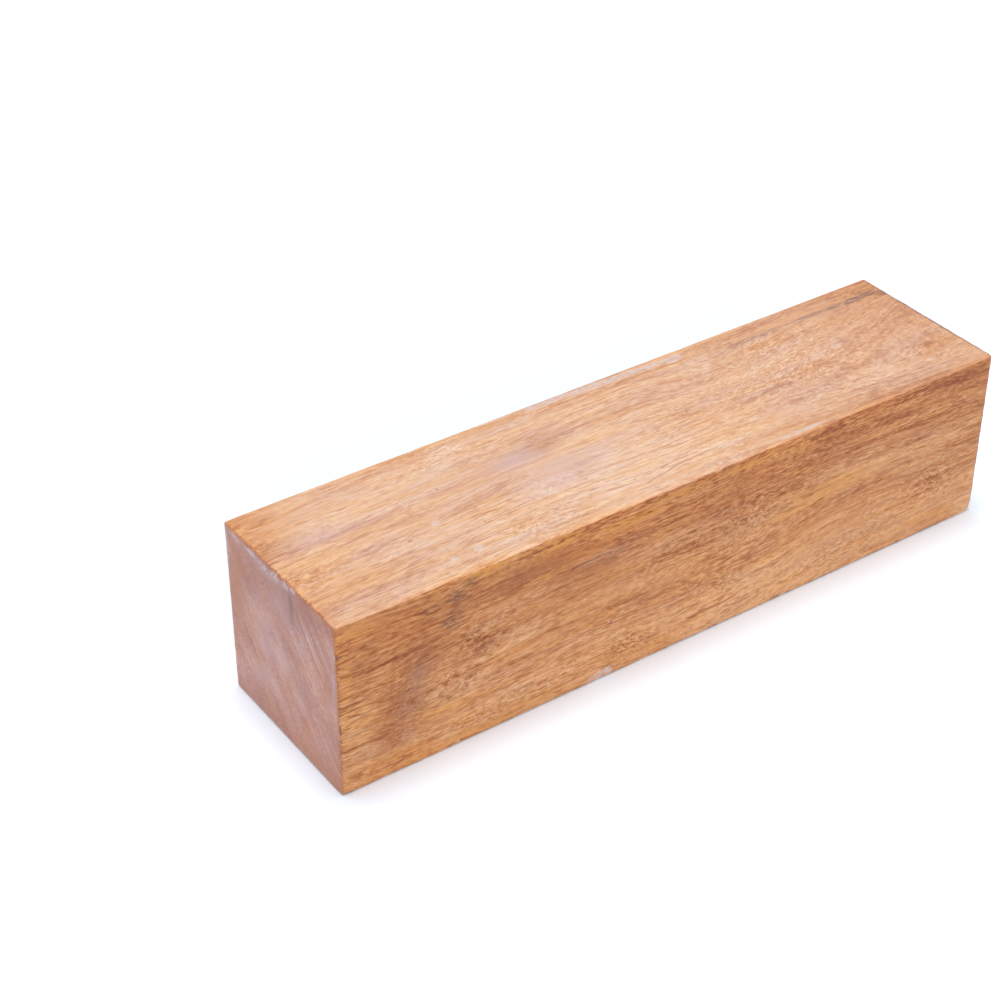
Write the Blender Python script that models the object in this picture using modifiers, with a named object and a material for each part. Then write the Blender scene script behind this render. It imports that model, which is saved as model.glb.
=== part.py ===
"""A square wood turning blank: one stick of open-grained hardwood, sawn to length and planed on four sides.

It is one solid. Its four long edges (arrises) are eased, the saw has left the edges round each end nearly
sharp, and two of its lower corners have been knocked blunt in handling.

Frame: +X along the grain, from the near end to the far end, -Y the front, +Z up. The origin is the centre of
the underside, which rests on the bench. Metres.
"""

import bmesh
import bpy
from mathutils import Matrix, Vector

# The stick, as sold: twelve inches of three-inch square stock, planed a little under its nominal size.
LENGTH = 0.305
SECTION_WIDTH = 0.075
SECTION_HEIGHT = 0.075
MIDDLE = Vector((0.0, 0.0, SECTION_HEIGHT / 2))

# How far each kind of edge is rounded.
LONG_ARRIS_RADIUS = 0.0010
END_ARRIS_RADIUS = 0.0005
ARRIS_SEGMENTS = 5

# A knocked corner: how deep the blow took it, from the sharp corner inwards along the corner's diagonal.
NEAR_CORNER_KNOCK_DEPTH = 0.0011
FAR_CORNER_KNOCK_DEPTH = 0.0019

# A cut leaves a three-cornered flat, whose points lie 1.4 depths from its middle. The cutter reaches past them.
CUTTER_WIDTH_PER_DEPTH = 4

# The wood's own colour, as linear RGB, and the low sheen of a planed and waxed face.
WOOD_COLOUR = (0.58, 0.29, 0.145, 1.0)
WOOD_ROUGHNESS = 0.5


def clear_scene():
    for obj in list(bpy.data.objects):
        bpy.data.objects.remove(obj, do_unlink=True)


def collection(name):
    made = bpy.data.collections.new(name)
    bpy.context.scene.collection.children.link(made)
    return made


def wood_material():
    material = bpy.data.materials.new("waxed_hardwood")
    material.use_nodes = True
    shader = material.node_tree.nodes["Principled BSDF"]
    shader.inputs["Base Color"].default_value = WOOD_COLOUR
    shader.inputs["Roughness"].default_value = WOOD_ROUGHNESS
    shader.inputs["Metallic"].default_value = 0.0
    return material


def box_mesh(name, length, width, height, centre):
    """A box with its faces along the axes, as a mesh of its real size."""
    shape = bmesh.new()
    bmesh.ops.create_cube(shape, size=1.0)
    bmesh.ops.transform(shape, matrix=Matrix.Diagonal((length, width, height, 1.0)), verts=shape.verts)
    bmesh.ops.translate(shape, vec=centre, verts=shape.verts)
    mesh = bpy.data.meshes.new(name)
    shape.to_mesh(mesh)
    shape.free()
    return mesh


def weigh_arrises(mesh, widest):
    """Gives each edge its share of the bevel: the ones along the grain, then the ones round the ends."""
    weights = mesh.attributes.new("bevel_weight_edge", "FLOAT", "EDGE")
    for edge in mesh.edges:
        start, end = (mesh.vertices[i].co for i in edge.vertices)
        along_grain = abs(end.x - start.x) > LENGTH / 2
        radius = LONG_ARRIS_RADIUS if along_grain else END_ARRIS_RADIUS
        weights.data[edge.index].value = radius / widest


def ease_arrises(blank):
    """One weighted bevel, so that edges of unlike radius still meet in a smooth corner."""
    widest = max(LONG_ARRIS_RADIUS, END_ARRIS_RADIUS)
    weigh_arrises(blank.data, widest)
    bevel = blank.modifiers.new("eased_arrises", "BEVEL")
    bevel.limit_method = "WEIGHT"
    bevel.width = widest
    bevel.segments = ARRIS_SEGMENTS


def knock_corner(blank, name, signs, depth, cutters):
    """Takes one corner off flat, as a blow or a drop does.

    signs says which corner: -1 or 1 along X, Y and Z. depth runs from the sharp corner towards the inside, on
    the line that leans equally from its three edges. The cutter is a cube that lies wholly outside that depth.
    """
    half_size = Vector((LENGTH, SECTION_WIDTH, SECTION_HEIGHT)) / 2
    sharp_corner = MIDDLE + half_size * Vector(signs)
    inwards = -Vector(signs).normalized()
    side = CUTTER_WIDTH_PER_DEPTH * depth
    cutter = bpy.data.objects.new(name, box_mesh(name, side, side, side, Vector((0.0, 0.0, -side / 2))))
    cutter.location = sharp_corner + inwards * depth
    cutter.rotation_euler = inwards.to_track_quat("Z", "Y").to_euler()
    cutter.hide_render = True
    cutter.display_type = "WIRE"
    cutters.objects.link(cutter)
    cut = blank.modifiers.new(name, "BOOLEAN")
    cut.operation = "DIFFERENCE"
    cut.object = cutter


def turning_blank(parts, cutters):
    mesh = box_mesh("blank", LENGTH, SECTION_WIDTH, SECTION_HEIGHT, MIDDLE)
    mesh.materials.append(wood_material())
    blank = bpy.data.objects.new("blank", mesh)
    parts.objects.link(blank)
    ease_arrises(blank)
    knock_corner(blank, "knock_near_front", (-1, -1, -1), NEAR_CORNER_KNOCK_DEPTH, cutters)
    knock_corner(blank, "knock_far_front", (1, -1, -1), FAR_CORNER_KNOCK_DEPTH, cutters)
    return blank


def main():
    clear_scene()
    turning_blank(collection("wood_turning_blank"), collection("cutters"))


main()
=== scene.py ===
# %% [markdown]
# A turning blank is the stick that a turner mounts between a lathe's centres. This one is a square of warm
# brown hardwood, planed on its four long sides, sawn across at both ends and sealed there with wax. The
# lesson starts from a frame: the plain solid of the stick at its real size. Everything below is in metres
# in that frame, with X along the grain and the underside at Z = 0.

# %% Load the frame
import math

import bmesh
import bpy
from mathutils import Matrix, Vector


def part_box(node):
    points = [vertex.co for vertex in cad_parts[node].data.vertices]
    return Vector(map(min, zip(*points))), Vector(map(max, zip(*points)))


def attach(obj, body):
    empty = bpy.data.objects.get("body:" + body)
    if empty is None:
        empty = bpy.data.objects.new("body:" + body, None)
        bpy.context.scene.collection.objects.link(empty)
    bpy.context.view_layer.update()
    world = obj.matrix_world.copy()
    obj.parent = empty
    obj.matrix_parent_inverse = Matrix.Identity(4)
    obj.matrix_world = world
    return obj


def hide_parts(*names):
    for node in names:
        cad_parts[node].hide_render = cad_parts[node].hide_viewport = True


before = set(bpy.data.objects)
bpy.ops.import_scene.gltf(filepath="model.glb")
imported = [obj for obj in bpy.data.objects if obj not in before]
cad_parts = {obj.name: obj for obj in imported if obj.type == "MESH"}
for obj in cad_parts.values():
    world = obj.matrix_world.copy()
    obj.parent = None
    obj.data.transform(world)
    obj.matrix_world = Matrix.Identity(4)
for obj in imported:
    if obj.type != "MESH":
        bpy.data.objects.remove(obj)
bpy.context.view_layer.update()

MM = 0.001

low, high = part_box("blank")
length, width, height = high - low
middle = (low + high) / 2
print(f"the stick is {length / MM:.1f} x {width / MM:.1f} x {height / MM:.1f} mm")

# %% [markdown]
# The camera comes first, because every finish below is judged through it. A product photographer stands
# well back with a longish lens, so the stick tapers only a little towards its far end. The camera is placed
# by what it looks at, from which side, how steeply and from how far, as one would move a tripod.

# %% Camera
AIM_FROM_MIDDLE = Vector((-34.1, 35.8, 0.0)) * MM
VIEW_TURN = math.radians(34.87)
VIEW_TILT = math.radians(35.08)
VIEW_DISTANCE = 860.4 * MM
LENS = 79.84

camera_data = bpy.data.cameras.new("studio_camera")
camera_data.lens = LENS
camera_data.clip_start = 10 * MM
camera = bpy.data.objects.new("studio_camera", camera_data)
bpy.context.scene.collection.objects.link(camera)
forward = Vector((
    math.sin(VIEW_TURN) * math.cos(VIEW_TILT),
    math.cos(VIEW_TURN) * math.cos(VIEW_TILT),
    -math.sin(VIEW_TILT),
))
camera.location = middle + AIM_FROM_MIDDLE - forward * VIEW_DISTANCE
camera.rotation_euler = forward.to_track_quat("-Z", "Y").to_euler()
bpy.context.scene.camera = camera
bpy.context.scene.view_settings.view_transform = "Standard"
print("the camera stands at", tuple(round(v, 3) for v in camera.location))

# %% [markdown]
# Shader nodes are added from code all through this lesson, so the few lines that do it are written once. A
# Board wraps one node tree. Each of its methods adds a node, fills its sockets with plain values or with
# other nodes' outputs, and hands back the output, so that a pattern reads like a sum. Sizes of noise are
# given as a pitch in millimetres, the rough distance from one blotch to the next along each axis.

# %% A board to build node trees on
# A Mix node has sockets for every kind of data. These are the numbers of its two colours and of its result.
COLOUR_MIX = (6, 7, 2)
NODES_IN_A_ROW = 12
NODE_STEP = (200, -220)


class Board:
    """One node tree. Each method adds one step of a pattern and returns its output socket."""

    def __init__(self, tree):
        self.tree = tree

    def node(self, kind, sockets=None, **settings):
        made = self.tree.nodes.new(kind)
        row, column = divmod(len(self.tree.nodes), NODES_IN_A_ROW)
        made.location = (NODE_STEP[0] * column, NODE_STEP[1] * row)
        for name, value in settings.items():
            setattr(made, name, value)
        for name, value in (sockets or {}).items():
            self.fill(made.inputs[name], value)
        return made

    def fill(self, socket, value):
        if isinstance(value, bpy.types.NodeSocket):
            self.tree.links.new(value, socket)
        else:
            socket.default_value = value

    def math(self, operation, first, second=0.0, clamp=False):
        made = self.node("ShaderNodeMath", {0: first, 1: second}, operation=operation, use_clamp=clamp)
        return made.outputs[0]

    def plus(self, first, second):
        return self.math("ADD", first, second)

    def minus(self, first, second):
        return self.math("SUBTRACT", first, second)

    def times(self, first, second):
        return self.math("MULTIPLY", first, second)

    def larger(self, first, second):
        return self.math("MAXIMUM", first, second)

    def vector(self, operation, first, second=(0.0, 0.0, 0.0)):
        return self.node("ShaderNodeVectorMath", {0: first, 1: second}, operation=operation).outputs[0]

    def scaled(self, vector, factor):
        made = self.node("ShaderNodeVectorMath", {0: vector, "Scale": factor}, operation="SCALE")
        return made.outputs[0]

    def length(self, vector):
        return self.node("ShaderNodeVectorMath", {0: vector}, operation="LENGTH").outputs["Value"]

    def parts(self, vector):
        made = self.node("ShaderNodeSeparateXYZ", {0: vector})
        return made.outputs[0], made.outputs[1], made.outputs[2]

    def noise(self, position, pitch, seed=0.0, detail=1.0, roughness=0.5, colour=False):
        """Cloudy noise from 0 to 1. The seed shifts the clouds."""
        scale = tuple(1.0 / step for step in pitch)
        shift = (seed, -seed, 2 * seed)
        at = self.node("ShaderNodeMapping", {"Vector": position, "Scale": scale, "Location": shift})
        made = self.node("ShaderNodeTexNoise", {
            "Vector": at.outputs[0], "Scale": 1.0, "Detail": detail, "Roughness": roughness,
        })
        return made.outputs["Color" if colour else "Fac"]

    def wander(self, position, pitch, reach, seed=0.0, detail=1.0):
        """A vector that drifts from place to place, up to about half of reach either way."""
        drift = self.noise(position, pitch, seed, detail, colour=True)
        return self.vector("MULTIPLY", self.vector("SUBTRACT", drift, (0.5, 0.5, 0.5)), reach)

    def strayed(self, position, pitch, reach, seed, detail):
        """The position moved by a wander, so that a mask drawn on it gets a ragged outline."""
        return self.vector("ADD", position, self.wander(position, pitch, reach, seed, detail))

    def rise(self, value, start, end, to=1.0):
        """Climbs smoothly from 0 to the last value as the first goes from start to end."""
        made = self.node("ShaderNodeMapRange", {
            "Value": value, "From Min": start, "From Max": end, "To Min": 0.0, "To Max": to,
        }, interpolation_type="SMOOTHSTEP")
        return made.outputs[0]

    def coat(self, under, paint, mask, share=1.0, blend="MIX"):
        """Lays a colour over another where the mask is, as a share of full strength."""
        first, second, result = COLOUR_MIX
        mask = mask if share == 1.0 else self.times(mask, share)
        sockets = {0: mask, first: under, second: paint}
        return self.node("ShaderNodeMix", sockets, data_type="RGBA", blend_type=blend).outputs[result]

    def tint(self, under, hue, mask):
        """Multiplies a colour by a hue where the mask is, so that what is under it still shows."""
        return self.coat(under, hue, mask, blend="MULTIPLY")

    def group(self, name, **sockets):
        made = self.node("ShaderNodeGroup", node_tree=bpy.data.node_groups[name])
        for label, value in sockets.items():
            self.fill(made.inputs[label.replace("_", " ")], value)
        return made.outputs


print("steps of a board:", ", ".join(name for name in vars(Board) if not name.startswith("_")))

# %% [markdown]
# A pattern that is used more than once is a node group, made once and placed wherever it is needed with its
# own values. A group gives out masks, values and positions only. Shaders stay in the materials, where an
# exporter can read them. Colours are written as a paint chip gives them, and turned into the shaders'
# values.

# %% Node groups and colours
ORIGIN = (0.0, 0.0, 0.0)


def new_group(name, inputs, outputs):
    """An empty node group. Its sockets are given with their start values, three numbers for a vector."""
    tree = bpy.data.node_groups.new(name, "ShaderNodeTree")
    for side, sockets in (("INPUT", inputs), ("OUTPUT", outputs)):
        for label, start in sockets.items():
            kind = "NodeSocketVector" if isinstance(start, tuple) else "NodeSocketFloat"
            tree.interface.new_socket(label, in_out=side, socket_type=kind).default_value = start
    print(f"{name} turns {', '.join(inputs)} into {', '.join(outputs)}")
    board = Board(tree)
    return board, board.node("NodeGroupInput").outputs, board.node("NodeGroupOutput").inputs


def srgb(red, green, blue):
    """A colour as a paint chip gives it, 0 to 255, turned into the linear values that shaders use."""
    def linear(value):
        share = value / 255
        return share / 12.92 if share <= 0.04045 else ((share + 0.055) / 1.055) ** 2.4
    return linear(red), linear(green), linear(blue), 1.0


print("a paint chip's mid grey is", round(srgb(128, 128, 128)[0], 3), "to a shader")

# %% [markdown]
# The studio is a white sweep under an even white sky. The sky is pure white only to the camera and to
# reflections. To the light that falls on the wood it is half as strong, so that the wood isn't washed out.

# %% Sky
SKY_LIGHT = 0.5


def seen_directly(board):
    """1 for rays from the camera, and for those that come by a reflection or through glass."""
    path = board.node("ShaderNodeLightPath").outputs
    seen = board.plus(path["Is Camera Ray"], path["Is Glossy Ray"])
    return board.math("ADD", seen, path["Is Transmission Ray"], clamp=True)


world = bpy.data.worlds.new("white_studio")
bpy.context.scene.world = world
world.use_nodes = True
board = Board(world.node_tree)
background = world.node_tree.nodes["Background"]
background.inputs["Color"].default_value = (1.0, 1.0, 1.0, 1.0)
unseen = board.minus(1.0, seen_directly(board))
strength = board.minus(1.0, board.times(unseen, 1.0 - SKY_LIGHT))
board.fill(background.inputs["Strength"], strength)
print("strength of the sky: 1.0 as seen,", SKY_LIGHT, "as light")

# %% [markdown]
# The floor is one matt plane, pale grey to the light that it throws back on the wood. To the camera it is
# brighter than white, so that all of it shows white but the soft shadow, and a little blue, because the
# wood tints the shadow with its own warm colour and the real one is neutral.

# %% Floor
FLOOR_PALE = (0.8, 0.8, 0.8, 1.0)
FLOOR_BRIGHT = (1.05, 1.16, 1.29, 1.0)
FLOOR_SIZE = 12.0

bpy.ops.mesh.primitive_plane_add(size=FLOOR_SIZE, location=(middle.x, middle.y, 0.0))
floor = bpy.context.object
floor.name = "studio_floor"
floor_paint = bpy.data.materials.new("studio_floor")
floor_paint.use_nodes = True
floor_paint.node_tree.nodes.clear()
board = Board(floor_paint.node_tree)
colour = board.coat(FLOOR_PALE, FLOOR_BRIGHT, seen_directly(board))
matt = board.node("ShaderNodeBsdfDiffuse", {"Color": colour})
board.node("ShaderNodeOutputMaterial", {"Surface": matt.outputs[0]})
floor.data.materials.append(floor_paint)
print("the floor is", FLOOR_SIZE, "m square")

# %% [markdown]
# Two soft lamps do the rest, both far off, so that the floor is lit evenly. The key hangs overhead, a
# little behind the stick, and is small enough to leave a narrow dark line on the floor along the stick's
# foot. The fill is wide and low, on the camera's side, and only lifts the upright faces.

# %% Lamps
def softbox(name, place, size, power):
    """A square lamp of that size in metres and power in watts, aimed at the middle of the stick."""
    data = bpy.data.lights.new(name, "AREA")
    data.shape = "SQUARE"
    data.size = size
    data.energy = power
    lamp = bpy.data.objects.new(name, data)
    bpy.context.scene.collection.objects.link(lamp)
    lamp.location = place
    lamp.rotation_euler = (middle - lamp.location).to_track_quat("-Z", "Y").to_euler()
    print(f"{name} stands {(middle - lamp.location).length:.1f} m off")


softbox("key_overhead", place=Vector((-0.3, 1.08, 18.0)), size=5.4, power=1440.0)
softbox("fill_by_camera", place=Vector((-8.4, -18.0, 6.6)), size=12.0, power=1152.0)

# %% [markdown]
# The stick starts as one block, a hair smaller than the frame, so that nothing pokes out of it. Its place
# and size are applied to its mesh at once, so that the patterns of the wood can be measured from the
# frame's origin.

# %% The block
SKIN_ROOM = 0.03 * MM

bpy.ops.object.select_all(action="DESELECT")
block = Vector((length, width, height)) - Vector((2, 2, 2)) * SKIN_ROOM
bpy.ops.mesh.primitive_cube_add(size=1, location=middle, scale=block)
stick = bpy.context.object
stick.name = "planed_stick"
bpy.ops.object.transform_apply(location=True, rotation=True, scale=True)
print("block:", [round(side / MM, 2) for side in block], "mm")

# %% [markdown]
# A plane leaves nearly flat faces, and the long edges between them, called arrises, are just eased. A saw
# leaves the edges round the ends almost sharp. So the arrises are bevelled first, wide, and then the
# outline of each end, finely, in edit mode, as one would by hand. From code, edges are chosen by a test.

# %% Eased arrises
LONG_ARRIS = 0.8 * MM
LONG_ARRIS_SEGMENTS = 5
END_ARRIS = 0.5 * MM
END_ARRIS_SEGMENTS = 3
HAIR = 1e-6


def choose(piece, kind, wanted):
    """Selects the piece's verts, edges or faces for which wanted is true, and nothing else. In edit mode."""
    bpy.ops.mesh.select_mode(type=kind)
    bpy.ops.mesh.select_all(action="DESELECT")
    shape = bmesh.from_edit_mesh(piece.data)
    for item in {"VERT": shape.verts, "EDGE": shape.edges, "FACE": shape.faces}[kind]:
        if wanted(item):
            item.select_set(True)
    shape.select_flush_mode()
    bmesh.update_edit_mesh(piece.data)


def runs_along_grain(edge):
    start, end = (vert.co for vert in edge.verts)
    return abs(start.y - end.y) < HAIR and abs(start.z - end.z) < HAIR


def lies_in_an_end(edge):
    start, end = (vert.co.x for vert in edge.verts)
    return abs(start - end) < HAIR and abs(abs(start - middle.x) - block.x / 2) < HAIR


bpy.ops.object.mode_set(mode="EDIT")
choose(stick, "EDGE", runs_along_grain)
bpy.ops.mesh.bevel(offset=LONG_ARRIS, segments=LONG_ARRIS_SEGMENTS, profile=0.5, affect="EDGES")
choose(stick, "EDGE", lies_in_an_end)
bpy.ops.mesh.bevel(offset=END_ARRIS, segments=END_ARRIS_SEGMENTS, profile=0.5, affect="EDGES")
bpy.ops.object.mode_set(mode="OBJECT")
print("eased block:", len(stick.data.polygons), "faces")

# %% [markdown]
# Wear sits on the edges, so that is where the stick needs small faces. Bisect cuts the block across, close
# together near each edge and further apart in the middle. Along the grain there are too many places to cut
# one by one, so only a few cuts are made, and the edges between two cuts are then subdivided.

# %% Tools for finer faces
EDGE_ZONE = 4.0 * MM
EDGE_PITCH = 0.5 * MM
OPEN_PITCH = 2.0 * MM


def cut_places(start, end):
    """Places for cuts between two faces: fine near each and coarse between."""
    fine = round(EDGE_ZONE / EDGE_PITCH)
    open_width = end - start - 2 * EDGE_ZONE
    coarse = round(open_width / OPEN_PITCH)
    near = [start + EDGE_PITCH * i for i in range(fine)]
    open_part = [start + EDGE_ZONE + open_width * i / coarse for i in range(coarse + 1)]
    return near + open_part + [start + end - place for place in reversed(near)]


def cut_across(axis, places):
    """Cuts the whole stick across an axis, 0 for X, 1 for Y or 2 for Z. In edit mode."""
    direction = Vector([1.0 if i == axis else 0.0 for i in range(3)])
    for place in places:
        bpy.ops.mesh.select_all(action="SELECT")
        bpy.ops.mesh.bisect(plane_co=direction * place, plane_no=direction)


def subdivide_between(start, end, pitch):
    """Divides the edges along the grain that run from start to end into pieces of about that pitch."""
    def between(edge):
        inside = all(start - HAIR < vert.co.x < end + HAIR for vert in edge.verts)
        return inside and runs_along_grain(edge)
    choose(stick, "EDGE", between)
    bpy.ops.mesh.subdivide(number_cuts=round((end - start) / pitch) - 1)


print("cuts across each face:", len(cut_places(0.0, block.y)))

# %% [markdown]
# The cuts go across Y and Z first, between the eased arrises. Then come the few cuts across X, and the
# edges between them are subdivided, finely towards both ends.

# %% Finer faces towards the edges
END_ZONE = 12.0 * MM
GRAIN_PITCH = 1.4 * MM
GRAIN_SPANS = 4

bpy.ops.object.mode_set(mode="EDIT")
side = block.y / 2 - LONG_ARRIS
cut_across(1, cut_places(middle.y - side, middle.y + side))
side = block.z / 2 - LONG_ARRIS
cut_across(2, cut_places(middle.z - side, middle.z + side))

reach = block.x / 2 - END_ARRIS
open_start = middle.x - reach + END_ZONE
open_end = middle.x + reach - END_ZONE
grain_cuts = [open_start + (open_end - open_start) * i / GRAIN_SPANS for i in range(GRAIN_SPANS + 1)]
cut_across(0, grain_cuts)
for start, end in zip(grain_cuts, grain_cuts[1:]):
    subdivide_between(start, end, GRAIN_PITCH)
subdivide_between(middle.x - reach, open_start, EDGE_PITCH)
subdivide_between(open_end, middle.x + reach, EDGE_PITCH)
bpy.ops.object.mode_set(mode="OBJECT")
print("finer stick:", len(stick.data.polygons), "faces")

# %% [markdown]
# No edge of a stick that has been stacked and handled stays straight. The Displace modifier pushes the
# surface in along its normals by a cloudy noise, and a vertex group holds it to the edges: the weight is
# full on an arris and fades to nothing a few millimetres into the face. Pushing only inwards keeps the
# stick's size.

# %% Tools for wear
LEVELS = 12


def depths(place):
    """How far a place lies inside the block's faces along X, Y and Z, the smallest first."""
    from_middle = place - middle
    return sorted(half - abs(at) for half, at in zip(block / 2, from_middle))


def add_wear_group(piece, name, weight_at):
    """A vertex group whose weights, 0 to 1, come from each vertex's place."""
    group = piece.vertex_groups.new(name=name)
    levels = {}
    for vert in piece.data.vertices:
        weight = round(weight_at(vert.co) * LEVELS) / LEVELS
        levels.setdefault(weight, []).append(vert.index)
    for weight, members in levels.items():
        group.add(members, weight, "REPLACE")
    print(f"{name}: {sum(len(members) for weight, members in levels.items() if weight)} vertices")


def displace(piece, group, pitch, depth, shift=(0.0, 0.0, 0.0)):
    """Pushes the surface in by up to depth with clouds of that pitch. The shift picks other clouds."""
    texture = bpy.data.textures.new(group, "CLOUDS")
    texture.noise_scale = pitch
    guide = bpy.data.objects.new(group + "_guide", None)
    bpy.context.scene.collection.objects.link(guide)
    guide.location = shift
    bpy.context.view_layer.update()
    push = piece.modifiers.new(group, "DISPLACE")
    push.texture = texture
    push.texture_coords = "OBJECT"
    push.texture_coords_object = guide
    push.vertex_group = group
    push.mid_level = 0.0
    push.strength = -depth
    bpy.context.view_layer.objects.active = piece
    bpy.ops.object.modifier_apply(modifier=push.name)
    bpy.data.objects.remove(guide)


# %% [markdown]
# The long arrises wear over a few millimetres, gently. The edges round the ends wear over a shorter stretch
# but deeper, because the saw has left short broken fibres there.

# %% Wear along the arrises
WEAR_REACH = 2.6 * MM
WEAR_FADE = 1.5
SAWN_WEAR_REACH = 1.2 * MM


def near_an_arris(place):
    from_arris = depths(place)[1]
    return max(0.0, 1.0 - from_arris / WEAR_REACH) ** WEAR_FADE


def near_an_end_arris(place):
    from_arris = depths(place)[1]
    from_end = block.x / 2 - abs(place.x - middle.x)
    return max(0.0, 1.0 - max(from_arris, from_end) / SAWN_WEAR_REACH)


add_wear_group(stick, "arris_wear", near_an_arris)
displace(stick, "arris_wear", pitch=6 * MM, depth=0.22 * MM)
add_wear_group(stick, "sawn_arris_wear", near_an_end_arris)
displace(stick, "sawn_arris_wear", pitch=2.2 * MM, depth=0.5 * MM, shift=(0.013, 0.007, 0.021))

# %% [markdown]
# Where a corner has been dropped or knocked it goes blunt. By hand one selects the corner's vertices and
# smooths them a few times: each pass pulls a vertex towards its neighbours, so the sharp point sinks and
# the flat faces around it stay as they were. Small bruises along the arrises are made the same way with
# fewer passes.

# %% Blunt corners and bruises
def wear_away(place, radius, passes):
    """Smooths what lies within radius of a place."""
    choose(stick, "VERT", lambda vert: (vert.co - place).length < radius)
    bpy.ops.mesh.vertices_smooth(factor=0.5, repeat=passes)


def corner(end, face, level):
    """A sharp corner of the block, each of the three given as -1 or 1."""
    return middle + Vector((end, face, level)) * block / 2


# Blunt corners: which one, how far the blow reached, and how often it is smoothed.
BLUNT_CORNERS = (
    (corner(-1, -1, -1), 2.8 * MM, 14),
    (corner(1, -1, -1), 4.2 * MM, 40),
    (corner(-1, -1, 1), 1.6 * MM, 5),
    (corner(1, -1, 1), 1.8 * MM, 6),
    (corner(-1, 1, 1), 1.5 * MM, 4),
    (corner(1, 1, -1), 2.4 * MM, 10),
)
# Bruises on the long arrises: millimetres from the near end, face and level of the arris, radius, passes.
BRUISES = (
    (33, -1, 1, 2.4, 8),
    (71, -1, 1, 2.0, 6),
    (118, -1, 1, 3.0, 10),
    (214, -1, 1, 2.6, 8),
    (262, -1, 1, 2.0, 6),
    (52, -1, -1, 2.4, 8),
    (148, -1, -1, 3.2, 12),
    (236, -1, -1, 2.2, 8),
    (90, 1, 1, 2.6, 8),
    (205, 1, 1, 2.2, 8),
    (64, 1, -1, 3.0, 10),
    (190, 1, -1, 2.4, 8),
)

bpy.ops.object.mode_set(mode="EDIT")
for place, radius, passes in BLUNT_CORNERS:
    wear_away(place, radius, passes)
for from_end, face, level, radius, passes in BRUISES:
    wear_away(corner(-1, face, level) + Vector((from_end * MM, 0, 0)), radius * MM, passes)
bpy.ops.object.mode_set(mode="OBJECT")
print("blunt corners:", len(BLUNT_CORNERS), "and bruises:", len(BRUISES))

# %% [markdown]
# The stick is then shaded smooth, but for the edges that are sharper than the given angle, and counted. The
# distance from the two blunt lower front corners to the sharp corners of the block tells how much the wear
# has taken there.

# %% Measure the stick
SHARP_FROM = math.radians(40)

bpy.ops.object.select_all(action="DESELECT")
stick.select_set(True)
bpy.context.view_layer.objects.active = stick
bpy.ops.object.shade_smooth_by_angle(angle=SHARP_FROM)
stick.data.calc_loop_triangles()
print("planed stick:", len(stick.data.loop_triangles), "triangles")
for name, place in (("near", corner(-1, -1, -1)), ("far", corner(1, -1, -1))):
    gap = min((vert.co - place).length for vert in stick.data.vertices)
    print(f"  blunt {name} corner lies {gap / MM:.2f} mm inside the sharp one")

# %% [markdown]
# All patterns in the wood are worked out in one solid space, in millimetres from the middle of the stick,
# so the streaks of one face run on into the next as they do in a real piece. Marks that sit at a certain
# place on a face are given as one would measure them with a rule: so far from the near end, so far from an
# edge.

# %% Millimetres from the middle
HALF = (block.x / 2 / MM, block.y / 2 / MM, block.z / 2 / MM)


def stick_position(board):
    """Object coordinates as millimetres from the middle of the stick."""
    at = board.node("ShaderNodeTexCoord").outputs["Object"]
    return board.node("ShaderNodeMapping", {
        "Vector": at, "Location": tuple(-v / MM for v in middle), "Scale": (1 / MM, 1 / MM, 1 / MM),
    }).outputs[0]


def on_top(along, across):
    """A place on the top face, in mm from its near end and from its back edge."""
    return along - HALF[0], HALF[1] - across, HALF[2]


def on_front(along, down):
    """A place on the front face, in mm from its near end and from its top edge."""
    return along - HALF[0], -HALF[1], HALF[2] - down


def on_end(across, down):
    """A place on the near end, in mm from its back edge and from its top edge."""
    return -HALF[0], HALF[1] - across, HALF[2] - down


def marks(on_face, *rows, deep):
    """Marks on one face. A row is a place in two numbers, its reach in both directions, and its strength."""
    axis = (on_end, on_front, on_top).index(on_face)
    made = []
    for first, second, first_reach, second_reach, strength in rows:
        reach = [first_reach, second_reach]
        reach.insert(axis, deep)
        made.append((on_face(first, second), reach, strength))
    return made


print("half of the stick:", [round(half, 2) for half in HALF], "mm")

# %% [markdown]
# A spot is a soft oval mask round one place. The group measures how far a point lies from the spot's centre
# in reaches, and climbs from nothing at one reach to the full strength at the centre. Where spots overlap,
# the stronger one counts, so a list of spots makes one mask without bright seams.

# %% Group: spot
board, given, result = new_group(
    "Spot",
    {"Position": ORIGIN, "Centre": ORIGIN, "Reach": (1.0, 1.0, 1.0), "Strength": 1.0, "Onto": 0.0},
    {"Mask": 0.0},
)
apart = board.vector("DIVIDE", board.vector("SUBTRACT", given["Position"], given["Centre"]), given["Reach"])
inside = board.rise(board.length(apart), 1.0, 0.0, to=given["Strength"])
board.fill(result["Mask"], board.larger(given["Onto"], inside))


def spots(board, position, places, onto=0.0):
    """One mask with a soft spot at each place: its centre, its reach along X, Y and Z, and its strength."""
    for centre, reach, strength in places:
        spot = board.group("Spot", Position=position, Centre=centre, Reach=reach,
                           Strength=strength, Onto=onto)
        onto = spot["Mask"]
    return onto

# %% [markdown]
# Dirt, burnish and worn wax follow the arrises. The group says how far a point lies from the nearest arris,
# which is the second smallest of its three depths below the block's faces, and how far from the nearer end.

# %% Group: edges
board, given, result = new_group("Edges", {"Position": ORIGIN}, {"From arris": 0.0, "From end": 0.0})
insides = [
    board.minus(half, board.math("ABSOLUTE", at))
    for half, at in zip(HALF, board.parts(given["Position"]))
]
least = board.math("MINIMUM", insides[0], insides[1])
most = board.larger(insides[0], insides[1])
second = board.larger(least, board.math("MINIMUM", most, insides[2]))
board.fill(result["From arris"], second)
board.fill(result["From end"], insides[0])

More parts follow.
